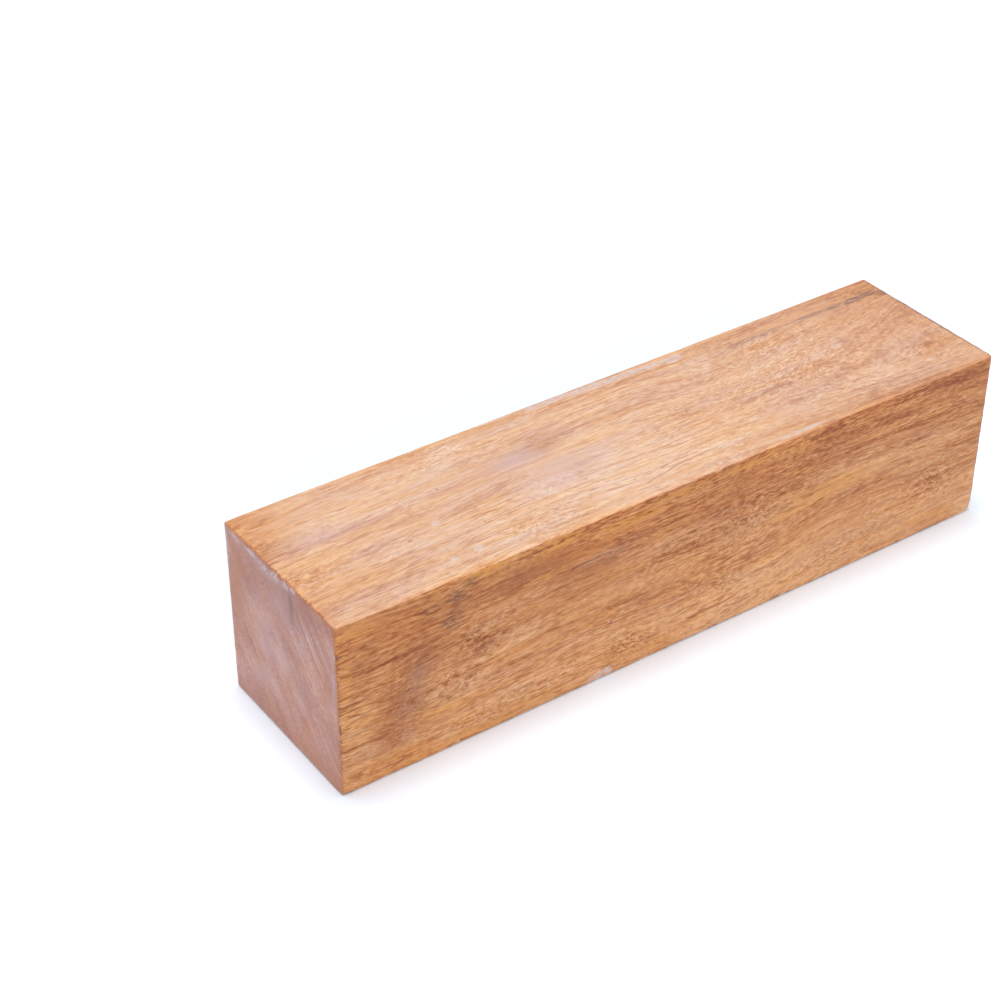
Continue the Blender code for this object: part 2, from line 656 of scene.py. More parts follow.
# %% [markdown]
# First comes the path of the grain. The fibres sway gently, and in places they climb or fall across a face.
# The group gives each point's place measured along the fibres, and in that straightened space a streak is
# only a long thin blotch. A slide shifts the fibres by some millimetres between two distances from the near
# end.

# %% Group: slide
board, given, result = new_group(
    "Slide",
    {"Position": ORIGIN, "Start": 0.0, "End": 1.0,
     "Centre": ORIGIN, "Reach": ORIGIN, "Lift": ORIGIN, "Onto": ORIGIN},
    {"Offset": ORIGIN},
)
along = board.parts(given["Position"])[0]
climbed = board.rise(along, given["Start"], given["End"])
window = board.group("Spot", Position=given["Position"], Centre=given["Centre"], Reach=given["Reach"])["Mask"]
lifted = board.scaled(given["Lift"], board.times(climbed, window))
board.fill(result["Offset"], board.vector("ADD", given["Onto"], lifted))

# %% [markdown]
# The path adds up all slides, each through a window that fades to nothing around its centre, and then four
# bends: a slow sway, a waver, a fine shiver, and a tight ripple that is there only where the wood curls.

# %% Group: path of the grain
FAR = 1e5
# Start and end of the slide in mm from the near end, its window's centre and reach, and the lift.
SLIDES = (
    (18, 42, on_front(0, 32), (FAR, 30, 24), (0, 0, 4.0)),
    (140, 300, on_front(0, 70), (FAR, 60, 52), (0, 0, 13.0)),
    (95, 150, on_front(0, 76), (FAR, 30, 18), (0, 0, -3.0)),
    (0, 110, on_top(0, 40), (FAR, 60, 30), (0, 5.0, 0)),
    (165, 202, on_top(0, 22), (FAR, 22, 30), (0, -5.0, 0)),
    (206, 262, on_top(0, 28), (FAR, 28, 30), (0, 6.0, 0)),
    (270, 305, on_top(0, 30), (FAR, 40, 30), (0, 5.0, 0)),
    (180, 290, on_top(0, 70), (FAR, 24, 20), (0, -6.0, 0)),
)

board, given, result = new_group(
    "Path of the grain", {"Position": ORIGIN, "Curl": 0.0}, {"Straightened": ORIGIN}
)
climb = ORIGIN
for start, end, centre, reach, lift in SLIDES:
    climb = board.group("Slide", Position=given["Position"], Start=start - HALF[0], End=end - HALF[0],
                        Centre=centre, Reach=reach, Lift=lift, Onto=climb)["Offset"]
sway = board.wander(given["Position"], pitch=(110, 46, 46), reach=(0, 9, 9), seed=3.1)
waver = board.wander(given["Position"], pitch=(26, 9, 9), reach=(0, 2.2, 2.2), seed=8.7, detail=2)
shiver = board.wander(given["Position"], pitch=(8, 3, 3), reach=(0, 0.45, 0.45), seed=1.9)
ripple = board.wander(given["Position"], pitch=(4.4, 3.0, 3.0), reach=(1.3, 2.0, 2.0), seed=5.3)
path = board.vector("SUBTRACT", given["Position"], climb)
for bend in (sway, waver, shiver, board.scaled(ripple, given["Curl"])):
    path = board.vector("ADD", path, bend)
board.fill(result["Straightened"], path)
print("slides of the grain:", len(SLIDES))

# %% [markdown]
# The figure is built from blotches of several sizes, all much longer than wide. The vessels are cut
# lengthwise by the plane and show as thin dark lines. They follow the contours of a broad noise, as they
# follow the layers of a trunk, so they run side by side, part and close again, and a second noise breaks
# them into short strokes.

# %% Group: strokes
board, given, result = new_group(
    "Strokes",
    {"Straightened": ORIGIN, "Along": 40.0, "Across": 4.0, "Lines": 6.0, "Thin": 0.5, "Seed": 0.0},
    {"Strokes": 0.0},
)
sizes = {0: given["Along"], 1: given["Across"], 2: given["Across"]}
pitch = board.node("ShaderNodeCombineXYZ", sizes).outputs[0]
at = board.vector("ADD", board.vector("DIVIDE", given["Straightened"], pitch), given["Seed"])
layers = board.node("ShaderNodeTexNoise", {"Vector": at, "Scale": 1.0, "Detail": 1.0}).outputs["Fac"]
wave = board.math("SINE", board.times(layers, board.times(given["Lines"], 2 * math.pi)))
board.fill(result["Strokes"], board.rise(wave, given["Thin"], 1.0))

# %% [markdown]
# The figure gives out two values. Its tone, from dark to pale wood, is a sum of clouds of four sizes, from
# bands as long as a finger down to single fibres, on one broad drift. Where the wood curls, long threads
# make way for short mottle. Some stretches of a real stick are calmer than others, so the contrast changes
# slowly too.

# %% Group: figure of the wood, its tone
THREADS_LOST_IN_CURLS = 0.75
MOTTLE = 0.6
MOTTLE_GAINED_IN_CURLS = 0.8
CALMEST = 0.62
LIVELIER_BY = 0.56


def add_layers(board, tone, layers):
    """Adds noises to a tone, each taken about its mean of one half and times its share."""
    for layer, share in layers:
        tone = board.plus(tone, board.times(board.minus(layer, 0.5), share))
    return tone


board, given, result = new_group(
    "Figure of the wood",
    {"Straightened": ORIGIN, "Curl": 0.0, "Contrast": 1.0, "Fine": 1.0},
    {"Tone": 0.0, "Vessels": 0.0},
)
fibres = given["Straightened"]
straight = board.minus(1.0, board.times(given["Curl"], THREADS_LOST_IN_CURLS))
mottled = board.plus(MOTTLE, board.times(given["Curl"], MOTTLE_GAINED_IN_CURLS))
lively = board.rise(board.noise(fibres, pitch=(34, 7, 7), seed=15.1), 0.25, 0.7)
contrast = board.times(given["Contrast"], board.plus(CALMEST, board.times(lively, LIVELIER_BY)))

broad = board.noise(fibres, pitch=(160, 15, 15), seed=1.7)
bands = board.noise(fibres, pitch=(60, 2.3, 2.3), seed=2.6, detail=2, roughness=0.55)
threads = board.noise(fibres, pitch=(15, 0.8, 0.8), seed=4.3, detail=2, roughness=0.6)
hairs = board.noise(fibres, pitch=(3.2, 0.42, 0.42), seed=6.1)
mottle = board.noise(fibres, pitch=(3.6, 1.5, 1.5), seed=5.5, detail=2, roughness=0.6)
tone = add_layers(board, 0.0, (
    (bands, 0.75),
    (threads, board.times(straight, 0.95)),
    (hairs, board.times(given["Fine"], 0.8)),
    (mottle, mottled),
))
tone = add_layers(board, board.times(tone, contrast), ((broad, 0.5),))
board.fill(result["Tone"], tone)

# %% [markdown]
# The second value is the vessels: long strokes broken up by a noise, short dashes between them, and flecks
# where the wood curls and each wave of the fibres is cut across.

# %% Group: figure of the wood, its vessels
FLECKS_BY_CURL = 1.15
DASHES_BY_STROKE = 0.75
strokes = board.group("Strokes", Straightened=fibres, Along=80.0, Across=5.0, Lines=6.0, Thin=0.6)["Strokes"]
breaks = board.rise(board.noise(fibres, pitch=(11, 0.8, 0.8), seed=7.7), 0.43, 0.54)
lines = board.times(board.times(strokes, breaks), straight)
dashes = board.rise(board.noise(fibres, pitch=(3.8, 0.6, 0.6), seed=9.9), 0.57, 0.67)
flecks = board.rise(board.noise(fibres, pitch=(1.9, 0.7, 0.7), seed=9.3, detail=1), 0.51, 0.63)
curly = board.times(board.times(flecks, given["Curl"]), FLECKS_BY_CURL)
vessels = board.larger(board.plus(lines, curly), board.times(dashes, DASHES_BY_STROKE))
board.fill(result["Vessels"], board.times(vessels, contrast))
print("nodes in the figure of the wood:", len(board.tree.nodes))

# %% [markdown]
# Each material is one Principled shader. These helpers start it, turn a tone into colours, and finish it
# with its colour, its roughness and a faint relief. The relief is only a bump, because a planed face is
# flat to a few hundredths of a millimetre.

# %% Starting and finishing a material
def new_material(name):
    material = bpy.data.materials.new(name)
    material.use_nodes = True
    return material, Board(material.node_tree), material.node_tree.nodes["Principled BSDF"]


def ramp(board, tone, stops):
    """Turns a tone into a colour. Each stop is a tone, from 0 to 1, and its colour."""
    made = board.node("ShaderNodeValToRGB", {"Fac": tone})
    elements = made.color_ramp.elements
    first, *between, last = stops
    elements[0].position, elements[0].color = first
    elements[1].position, elements[1].color = last
    for place, colour in between:
        elements.new(place).color = colour
    return made.outputs[0]


def finish_material(board, shader, colour, roughness, relief, depth, strength):
    bump = board.node("ShaderNodeBump", {"Height": relief, "Distance": depth, "Strength": strength})
    board.fill(shader.inputs["Base Color"], colour)
    board.fill(shader.inputs["Roughness"], roughness)
    board.fill(shader.inputs["Normal"], bump.outputs[0])


print("materials so far:", len(bpy.data.materials))

# %% [markdown]
# The planed wood is painted in thin coats, one after the other. Each coat is a colour and a mask that says
# where it lies. A mark is its place, its reach along X, Y and Z in millimetres, and its strength. Masks are
# drawn on a position that strays by a few millimetres, so that no mark has a clean outline. The top has a
# finish of its own, so a mark stays on its own side of the arris.

# %% Planed wood: positions and faces
TOP_STARTS_BELOW = 0.5
planed_wood, board, shader = new_material("planed_wood")
position = stick_position(board)
ragged = board.strayed(position, pitch=(9, 6, 6), reach=(9, 7, 7), seed=2.3, detail=2)
frayed = board.strayed(position, pitch=(2.2, 1.2, 1.2), reach=(2.2, 1.1, 1.1), seed=7.3, detail=2)
edges = board.group("Edges", Position=position)
edge_noise = board.noise(position, pitch=(7, 2.2, 2.2), seed=3.3, detail=2, roughness=0.7)
level = board.parts(position)[2]
top_face = board.rise(board.plus(level, edge_noise), HALF[2] - TOP_STARTS_BELOW, HALF[2])
sides = board.minus(1.0, top_face)


def patches(position, places):
    """One mask of soft spots. Those of the top and those of the sides keep to their own side of the arris."""
    above = spots(board, position, [place for place in places if place[0][2] == HALF[2]])
    beside = spots(board, position, [place for place in places if place[0][2] != HALF[2]])
    return board.plus(board.times(above, top_face), board.times(beside, sides))


print("the finish of the top starts", TOP_STARTS_BELOW, "mm below it")

# %% [markdown]
# In curly wood the fibres lie in small waves and the knife cuts across each of them. Most of this stick
# runs straight, with curly patches here and there on the front and over the far half of the top. A noise
# adds loose ones, so that the faces without marks have some too.

# %% Planed wood: curly patches
CURLS = marks(
    on_front,
    (27, 45, 13, 34, 1), (58, 31, 16, 15, 1), (180, 28, 32, 24, 1), (210, 9, 50, 10, 0.7),
    (280, 50, 30, 17, 1), (225, 64, 80, 16, 0.6), (128, 64, 20, 12, 0.9), (60, 66, 34, 12, 0.7),
    deep=20,
) + marks(
    on_top,
    (236, 36, 95, 44, 0.95), (288, 40, 42, 44, 0.85), (90, 14, 40, 16, 0.5), (105, 44, 16, 18, 0.6),
    deep=12,
)
loose_curl = board.rise(board.noise(position, pitch=(36, 20, 20), seed=11.0), 0.54, 0.7, to=0.7)
curl = spots(board, ragged, CURLS, onto=loose_curl)
print("curly patches:", len(CURLS))

# %% [markdown]
# In some stretches the figure is bold, with strong lights and darks, and in others it is calm.

# %% Planed wood: bold and calm stretches
CONTRAST_CHANGE = 0.5
BOLD = marks(
    on_front,
    (205, 3, 150, 14, 0.6), (58, 30, 14, 14, 1), (197, 27, 26, 15, 0.6), (282, 51, 22, 14, 0.6),
    (4, 26, 12, 32, 0.7),
    deep=9,
) + marks(
    on_top,
    (238, 34, 84, 40, 0.3),
    deep=9,
) + marks(
    on_top,
    (150, 10, 60, 18, 0.3), (3, 40, 14, 60, 0.6),
    deep=8,
) + marks(
    on_top,
    (290, 2, 60, 16, 0.6),
    deep=6,
)
CALM = marks(
    on_front,
    (115, 30, 28, 18, 0.9), (30, 12, 40, 14, 0.6), (84, 32, 22, 14, 0.5), (88, 13, 50, 9, 0.6),
    (230, 66, 70, 16, 0.35),
    deep=9,
) + marks(
    on_top,
    (40, 38, 60, 10, 0.7), (84, 33, 24, 12, 0.6), (112, 38, 26, 26, 0.9), (20, 12, 26, 14, 0.5),
    deep=8,
)
contrast = board.plus(1.0, board.times(patches(ragged, BOLD), CONTRAST_CHANGE))
contrast = board.minus(contrast, board.times(patches(ragged, CALM), CONTRAST_CHANGE))
print("bold and calm stretches:", len(BOLD), "and", len(CALM))

# %% [markdown]
# A thin milky film lies on the top. It makes the wood paler and pinker and blurs its finest fibres. Its
# paleness is partly the wax's own colour and partly a painted sheen, for the light that the top reflects.
# This mask says how thick both are: thin at the bare places near some edges, and uneven elsewhere.
# mask says how thick it is: thin at the bare places near some edges, and uneven elsewhere.

# %% Planed wood: thickness of the film and its painted sheen
FIBRES_UNDER_FILM = 0.85
BARE = marks(
    on_top,
    (310, 0, 60, 40, 0.45), (290, 0, 80, 16, 0.3), (2, 12, 26, 26, 0.55), (245, 76, 90, 15, 0.45),
    deep=9,
)
# This mask carries the wax film's own colour and a painted sheen on the top together.
film_and_sheen = board.times(top_face, board.minus(1.0, spots(board, ragged, BARE)))
uneven = board.rise(board.noise(position, pitch=(40, 16, 16), seed=21.0, detail=2), 0.05, 0.5)
film_and_sheen = board.times(film_and_sheen, uneven)
fine = board.minus(1.0, board.times(film_and_sheen, FIBRES_UNDER_FILM))
print("bare places:", len(BARE))

# %% [markdown]
# The first coat is the wood itself. The colours were matched to a warm tropical hardwood: golden to
# reddish brown. The figure's tone is shifted up or down in places, and the ramp turns it into colour.

# %% Planed wood: tone and colour
DARK_WOOD = srgb(157, 82, 18)
MID_WOOD = srgb(213, 146, 91)
PALE_WOOD = srgb(241, 187, 139)
MEAN_TONE = 0.53
PALER_BY = 0.24
DARKER_BY = 0.22
# The first entry on the front is painted light: the lower half of the front is made paler, as the floor's
# bounce lights it. The other entries are the wood's own paler patches.
PALER = marks(
    on_front,
    (150, 84, 600, 58, 0.9), (220, 62, 110, 34, 1), (86, 52, 24, 18, 0.6), (8, 52, 16, 14, 1.2),
    (48, 50, 18, 12, 0.6), (68, 52, 16, 10, 0.7), (76, 38, 26, 10, 0.6), (52, 53, 80, 13, 0.75),
    (200, 71, 88, 30, 1.9), (262, 66, 50, 22, 1.2), (303, 72, 26, 18, 1.5), (180, 39, 28, 10, 0.8),
    (7, 5, 16, 12, 0.9), (72, 4, 34, 8, 0.6), (200, 5, 22, 9, 0.9), (240, 22, 24, 9, 0.5),
    deep=20,
) + marks(
    on_top,
    (48, 37, 20, 10, 0.6), (86, 8, 24, 12, 0.9), (237, 34, 50, 14, 0.4), (68, 36, 20, 10, 0.6),
    (237, 52, 18, 10, 0.7), (70, 68, 26, 12, 0.6), (130, 58, 110, 40, 0.7), (45, 50, 60, 40, 0.4),
    deep=8,
)
# The first entry on the front is painted shade: the upper half of the front is made darker, further from the
# floor's bounce. The other entries are the wood's own darker patches.
DARKER = marks(
    on_front,
    (150, -6, 600, 46, 1), (30, 22, 42, 14, 1.3), (108, 19, 46, 14, 1.2), (29, 69, 14, 9, 0.6),
    (68, 70, 16, 9, 0.4), (300, 38, 20, 12, 0.8), (26, 46, 17, 34, 0.5), (125, 46, 26, 12, 0.4),
    deep=20,
) + marks(
    on_top,
    (145, 20, 60, 14, 0.5), (305, 8, 26, 14, 1.5), (240, 72, 90, 14, 0.6), (308, -6, 60, 34, 1),
    (303, 40, 60, 70, 0.5), (118, 25, 40, 8, 0.4), (3, 24, 14, 22, 0.5),
    deep=8,
)
straightened = board.group("Path of the grain", Position=position, Curl=curl)["Straightened"]
figure = board.group("Figure of the wood", Straightened=straightened, Curl=curl, Contrast=contrast, Fine=fine)
tone = board.plus(figure["Tone"], MEAN_TONE)
tone = board.plus(tone, board.times(patches(ragged, PALER), PALER_BY))
tone = board.minus(tone, board.times(patches(ragged, DARKER), DARKER_BY))
colour = ramp(board, tone, ((0.1, DARK_WOOD), (0.5, MID_WOOD), (0.95, PALE_WOOD)))
print("paler and darker patches:", len(PALER), "and", len(DARKER))

# %% [markdown]
# Where the wood curls most its colour deepens to a plum brown, in a mottle. The vessels come next, over the
# plum, in a dark red-brown. The knife has left its own fine parallel lines where it entered the wood.

# %% Planed wood: plum, vessels and knife lines
PLUM = srgb(154, 93, 58)
VESSEL_BROWN = srgb(138, 60, 8)
PLUMS = marks(
    on_front,
    (34, 31, 12, 15, 0.9), (8, 23, 18, 10, 0.45), (27, 44, 15, 15, 1), (21, 57, 15, 17, 0.7),
    (82, 11, 28, 6, 0.5), (60, 32, 13, 10, 0.5), (172, 30, 20, 16, 0.35), (96, 20, 40, 8, 0.35),
    deep=12,
) + marks(
    on_top,
    (112, 27, 22, 8, 0.5), (96, 29, 6, 6, 0.5),
    deep=8,
)
KNIFE_LINES = marks(
    on_front,
    (2, 44, 26, 50, 1), (12, 6, 30, 12, 0.9), (60, 12, 60, 12, 0.4),
    deep=12,
) + marks(
    on_top,
    (4, 62, 50, 30, 0.8), (130, 68, 70, 12, 0.4),
    deep=8,
)
mottle = board.noise(ragged, pitch=(5, 3, 2.4), seed=27.0, detail=2)
plum = board.times(spots(board, ragged, PLUMS), board.rise(mottle, 0.1, 0.5))
colour = board.coat(colour, PLUM, plum, share=0.66)
colour = board.coat(colour, VESSEL_BROWN, figure["Vessels"], share=0.56)
knife = board.group("Strokes", Straightened=straightened, Along=60.0, Across=3.0,
                    Lines=7.0, Thin=0.0, Seed=3.0)["Strokes"]
knife = board.times(knife, patches(ragged, KNIFE_LINES))
colour = board.coat(colour, VESSEL_BROWN, knife, share=0.3)
print("plum patches and knife marks:", len(PLUMS), "and", len(KNIFE_LINES))

# %% [markdown]
# Long dark streaks run along the grain, each a layer of the tree that held more colour. They are thin spots
# on a position that drifts slowly, so they bend, and only the darker fibres take them up.

# %% Planed wood: dark streaks
STREAKS = marks(
    on_front,
    (90, 41.5, 20, 0.9, 0.9), (196, 9, 24, 1.4, 0.8), (226, 4, 26, 1.5, 0.9), (240, 13, 24, 1.1, 0.7),
    (168, 19, 22, 1.5, 0.6), (110, 18, 34, 2.4, 0.6), (280, 5, 30, 2.5, 0.7), (264, 25, 36, 1.8, 0.6),
    (236, 39, 34, 1.3, 0.8), (290, 36, 22, 1.2, 0.6), (22, 24, 24, 2.4, 0.6), (148, 30, 18, 1, 0.6),
    (130, 52, 26, 1, 0.5), (182, 66, 26, 0.9, 0.5), (250, 60, 30, 1, 0.5),
    deep=6,
) + marks(
    on_top,
    (26, 30, 52, 3, 0.8), (42, 36, 44, 1.6, 0.7), (126, 25, 26, 2.2, 1), (126, 43, 20, 2.4, 0.8),
    (34, 44, 13, 2.4, 1), (94, 46, 9, 5.5, 0.7), (160, 53, 30, 1.4, 0.4), (205, 46, 24, 1.5, 0.5),
    (250, 51, 50, 6, 0.35), (272, 63, 36, 2, 0.5), (232, 4, 60, 3, 0.5), (70, 15, 36, 1.2, 0.35),
    (100, 61, 40, 1.2, 0.35),
    deep=5,
)
drifting = board.strayed(position, pitch=(28, 7, 7), reach=(0, 4.5, 4.5), seed=4.4, detail=2)
streak = board.times(patches(drifting, STREAKS), board.rise(figure["Tone"], 0.2, -0.2))
colour = board.coat(colour, VESSEL_BROWN, streak, share=0.8)
print("dark streaks:", len(STREAKS))

# %% [markdown]
# Golden fibres show along the upper front arris and here and there in the wood, between the darker ones.
# Hazy patches of a greyish lavender lie over the figure, as where damp has got at the wood. The arrises,
# rubbed by hands and other sticks, are burnished to a red-brown.

# %% Planed wood: gold, haze and burnish
GOLD = srgb(226, 160, 78)
GOLD_SHARE = 0.8
LAVENDER = srgb(186, 152, 140)
BURNISH = srgb(172, 98, 50)
BURNISH_SHARE = 0.55
BURNISH_LOST_ON_TOP = 0.35
GOLDENS = marks(
    on_front,
    (62, 2, 17, 4, 1), (90, 3.5, 30, 4, 1), (126, 7, 26, 3.5, 1), (150, 3.5, 26, 3, 0.9),
    (182, 4, 26, 3, 0.8), (206, 6, 20, 4, 0.8), (4, 30, 4, 60, 0.5), (8, 5, 12, 7, 0.6),
    (42, 55, 16, 10, 0.5), (215, 32, 60, 10, 0.35), (60, 73, 70, 4, 0.6),
    deep=12,
) + marks(
    on_top,
    (300, 5, 30, 20, 0.3),
    deep=8,
)
HAZES = marks(
    on_front,
    (33, 37, 8, 12, 0.45), (28, 52, 7, 14, 0.25),
    deep=8,
) + marks(
    on_top,
    (108, 27, 20, 9, 1), (126, 22, 24, 9, 0.6), (20, 26, 26, 10, 0.8), (120, 44, 34, 14, 0.5),
    (270, 12, 40, 14, 0.35),
    deep=8,
) + marks(
    on_front,
    (116, 17, 24, 6, 0.4),
    deep=12,
)
yellow = board.rise(board.noise(straightened, pitch=(9, 1.3, 1.3), seed=19.0, detail=2), 0.58, 0.75, to=0.3)
golden = board.larger(yellow, board.times(patches(frayed, GOLDENS), GOLD_SHARE))
golden = board.times(golden, board.rise(figure["Tone"], -0.16, 0.04))
colour = board.coat(colour, GOLD, golden)
colour = board.coat(colour, LAVENDER, spots(board, ragged, HAZES), share=0.5)
burnish = board.rise(board.plus(edges["From arris"], edge_noise), 1.3, 0.5)
burnish = board.times(burnish, board.minus(BURNISH_SHARE, board.times(top_face, BURNISH_LOST_ON_TOP)))
colour = board.coat(colour, BURNISH, burnish)
print("golden and hazy patches:", len(GOLDENS), "and", len(HAZES))

# %% [markdown]
# Now the film goes on, and with it the painted sheen of the top. It evens out the red and lifts the green
# and blue, which takes a gain and an offset.
# Some regions are then tinted amber, where the wood has kept a deeper, more orange colour.

# %% Planed wood: film with painted sheen, and amber
FILM_AND_SHEEN_GAIN = (0.7, 1.05, 1.45, 1.0)
FILM_AND_SHEEN_LIFT = (0.34, 0.169, 0.133, 1.0)
AMBER = (1.0, 0.91, 0.76, 1.0)
AMBERS = marks(
    on_front,
    (190, -4, 250, 38, 1), (10, 12, 70, 28, 0.8), (30, 74, 50, 18, 0.8), (120, 74, 60, 16, 0.6),
    deep=20,
) + marks(
    on_top,
    (-6, 26, 46, 90, 1), (-6, 64, 30, 40, 0.7), (150, -8, 300, 26, 0.6), (280, 2, 70, 30, 0.8),
    (186, 50, 30, 18, 0.6),
    deep=8,
)
# Partly the film's own colour and partly painted sheen: the top is made paler and less saturated.
colour = board.tint(colour, FILM_AND_SHEEN_GAIN, film_and_sheen)
colour = board.coat(colour, FILM_AND_SHEEN_LIFT, film_and_sheen, blend="ADD")
colour = board.tint(colour, AMBER, patches(ragged, AMBERS))
print("amber regions:", len(AMBERS))

# %% [markdown]
# The saw has left a ragged burnished line round each end, and small dark nicks lie along the edges, where
# dirt has settled in torn fibres. The arris itself catches more light than the faces, so a faint painted
# highlight is tinted onto it, less towards the floor.

# %% Planed wood: sawn edge, nicks and painted arris highlight
NICK = srgb(96, 56, 32)
PAINTED_ARRIS_HIGHLIGHT = (1.07, 1.01, 0.9, 1.0)
SAW_LINE_WIDTH = 2.3
SAW_LINE_RAGGEDNESS = 1.6
sawn_edge = board.plus(edges["From end"], board.times(edge_noise, SAW_LINE_RAGGEDNESS))
colour = board.coat(colour, BURNISH, board.rise(sawn_edge, SAW_LINE_WIDTH, 0.8, to=0.5))
nicks = board.rise(board.noise(position, pitch=(2.6, 1.5, 1.5), seed=29.0, detail=2), 0.53, 0.62)
along_grain = board.times(board.rise(edges["From arris"], 1.6, 0.5), sides)
nicks = board.times(nicks, board.larger(along_grain, board.rise(edges["From end"], 1.3, 0.5)))
colour = board.coat(colour, NICK, nicks, share=0.6)
# Painted highlight: the upper arrises are tinted paler, as they catch more light, fading out towards the
# floor.
painted_arris_highlight = board.times(board.rise(edges["From arris"], 2.6, 0.8), board.rise(level, 0.0, 30.0))
colour = board.tint(colour, PAINTED_ARRIS_HIGHLIGHT, painted_arris_highlight)
print("the saw's line is up to", SAW_LINE_WIDTH, "mm wide")

# %% [markdown]
# Wood is never of one hue. Long patches of it are tinted a little cooler and others a little warmer, the
# latter less on the filmed top.

# %% Planed wood: cool and warm drifts
COOLER = (0.95, 0.985, 1.14, 1.0)
WARMER = (1.03, 0.985, 0.8, 1.0)
WARMTH_LOST_ON_TOP = 0.35
cooler = board.rise(board.noise(straightened, pitch=(46, 7, 7), seed=13.0, detail=2), 0.42, 0.66, to=0.8)
colour = board.tint(colour, COOLER, cooler)
warmer = board.rise(board.noise(straightened, pitch=(30, 3.4, 3.4), seed=17.0, detail=2), 0.4, 0.66, to=0.9)
warmer = board.times(warmer, board.minus(1.0, board.times(top_face, WARMTH_LOST_ON_TOP)))
colour = board.tint(colour, WARMER, warmer)
print("drifts: cooler and warmer")

# %% [markdown]
# Grey-blue stains, as iron leaves them in damp wood, lie near the front arris and in a line on the top's
# far half. A stain is a tint that multiplies, so the grain still shows through it, and dark fibres take up
# more.

# %% Planed wood: stains
STAINED = (0.42, 0.43, 0.61, 1.0)
STAINS = marks(
    on_front,
    (55, 4.5, 9, 4, 0.8), (48.5, 7.5, 8, 4.4, 1.1), (47, 18, 7, 6, 0.95), (50.5, 12.5, 5, 5, 0.25),
    (39, 8.5, 8, 3.8, 0.6),
    deep=8,
) + marks(
    on_top,
    (236, 10.8, 18, 2.2, 0.8), (264, 10.8, 20, 2.2, 0.6), (280, 11, 10, 2.4, 1),
    (288, 10.9, 11, 2.6, 1.3), (296, 10.8, 9, 2.6, 1.1), (303, 13, 5, 3.4, 0.8),
    deep=3,
)
seeping = board.strayed(position, pitch=(5, 2.5, 2.5), reach=(7, 1.8, 3), seed=6.6, detail=3)
stain = board.times(spots(board, seeping, STAINS), board.rise(figure["Tone"], 0.4, -0.1))
colour = board.tint(colour, STAINED, stain)
print("spots of stain:", len(STAINS))

# %% [markdown]
# Last come the things that lie on top of the wood: wax that ran or was smeared over from the ends, with a
# crisp and ragged outline, specks of wax, and specks of dirt. One of the dark ones is drawn out into a thin
# line, where dirt has settled along the top's far edge.

# %% Planed wood: smears and specks
WAX_WHITE = srgb(226, 208, 204)
DIRT = srgb(118, 80, 76)
WAX_SMEARS = marks(
    on_top,
    (116, 0.8, 14, 1.4, 0.8), (140, 2.2, 20, 2.6, 1), (158, 3, 18, 2.9, 1), (175, 3.6, 17, 2.9, 1),
    (188, 4.2, 13, 2.9, 1), (199, 5, 7, 3.8, 1), (78, 0.6, 4, 1.2, 0.9), (61, 44, 2.2, 2.2, 1),
    (65, 65, 3, 2.6, 1), (55, 65.5, 2.6, 1.4, 0.8),
    deep=3,
) + marks(
    on_top,
    (206, 73, 18, 1.8, 0.8),
    deep=2,
) + marks(
    on_front,
    (113, 73, 9, 3.6, 0.9), (116, 49, 1.4, 1.4, 0.7), (135, 75, 14, 1.2, 0.8), (165, 75.4, 34, 1.7, 0.5),
    (235, 75.4, 60, 1.5, 0.4),
    deep=3,
)
PALE_SPECKS = marks(
    on_front,
    (89, 66, 0.9, 1.1, 1), (49, 73.5, 1.2, 0.8, 1), (202, 74, 1.6, 0.8, 0.8), (116, 71, 2.2, 0.9, 1),
    deep=3,
)
DARK_SPECKS = marks(
    on_top,
    (48, 48, 1.3, 1, 0.8), (76, 53, 0.9, 0.8, 0.8), (73, 27, 0.9, 0.7, 0.9), (304, 14, 1.2, 5, 0.7),
    (304.4, 40, 1.8, 70, 1),
    deep=3,
) + marks(
    on_front,
    (0.9, 12.5, 1.3, 1.6, 0.9), (1.2, 17.5, 1.5, 1.2, 0.8), (0.8, 24, 1.1, 1.8, 0.6),
    deep=3,
)
smear = board.rise(spots(board, frayed, WAX_SMEARS), 0.15, 0.45)
wax_mottle = board.noise(position, pitch=(1.6, 1.0, 1.0), seed=23.0, detail=3)
smear = board.times(smear, board.rise(wax_mottle, 0.2, 0.7, to=0.85))
colour = board.coat(colour, WAX_WHITE, smear)
colour = board.coat(colour, WAX_WHITE, spots(board, frayed, PALE_SPECKS))
colour = board.coat(colour, DIRT, spots(board, frayed, DARK_SPECKS), share=0.8)
print("smears, pale and dark specks:", len(WAX_SMEARS), len(PALE_SPECKS), len(DARK_SPECKS))

# %% [markdown]
# The planed wood has a low sheen. Wax is a little glossier and the open vessels a little duller. The relief
# is one of very long, very thin grooves, as the fibres leave them.

# %% Planed wood: sheen and relief
WOOD_ROUGHNESS = 0.5
WAX_SHEEN = 0.12
VESSEL_DULLNESS = 0.1
roughness = board.minus(WOOD_ROUGHNESS, board.times(smear, WAX_SHEEN))
roughness = board.plus(roughness, board.times(figure["Vessels"], VESSEL_DULLNESS))
grooves = board.noise(position, pitch=(9, 0.5, 0.5), seed=31.0, detail=2)
finish_material(board, shader, colour, roughness, relief=grooves, depth=0.04 * MM, strength=0.7)
stick.data.materials.append(planed_wood)
print("nodes in planed wood:", len(board.tree.nodes))

# %% [markdown]
# The ends are dipped in wax, so that the stick doesn't dry through its open pores and split. Over the end
# grain the wax is a thin hazy film, milky where it lies thick. The marks of the saw show through it as
# slanted ripples, more in some places than in others. Their noise is stretched along the cut and turned to
# its slant.

# %% Waxed ends: tone and colour
END_DEEP = srgb(175, 112, 91)
END_HAZE = srgb(197, 139, 122)
END_MILK = srgb(222, 178, 170)
END_MEAN_TONE = 0.5
END_DARKER_BY = 0.2
SAW_SLANT = math.radians(39.7)
SAW_MARKS_FAINT = 0.45
SAW_MARKS_CLEARER_BY = 1.2
FLAT = 200
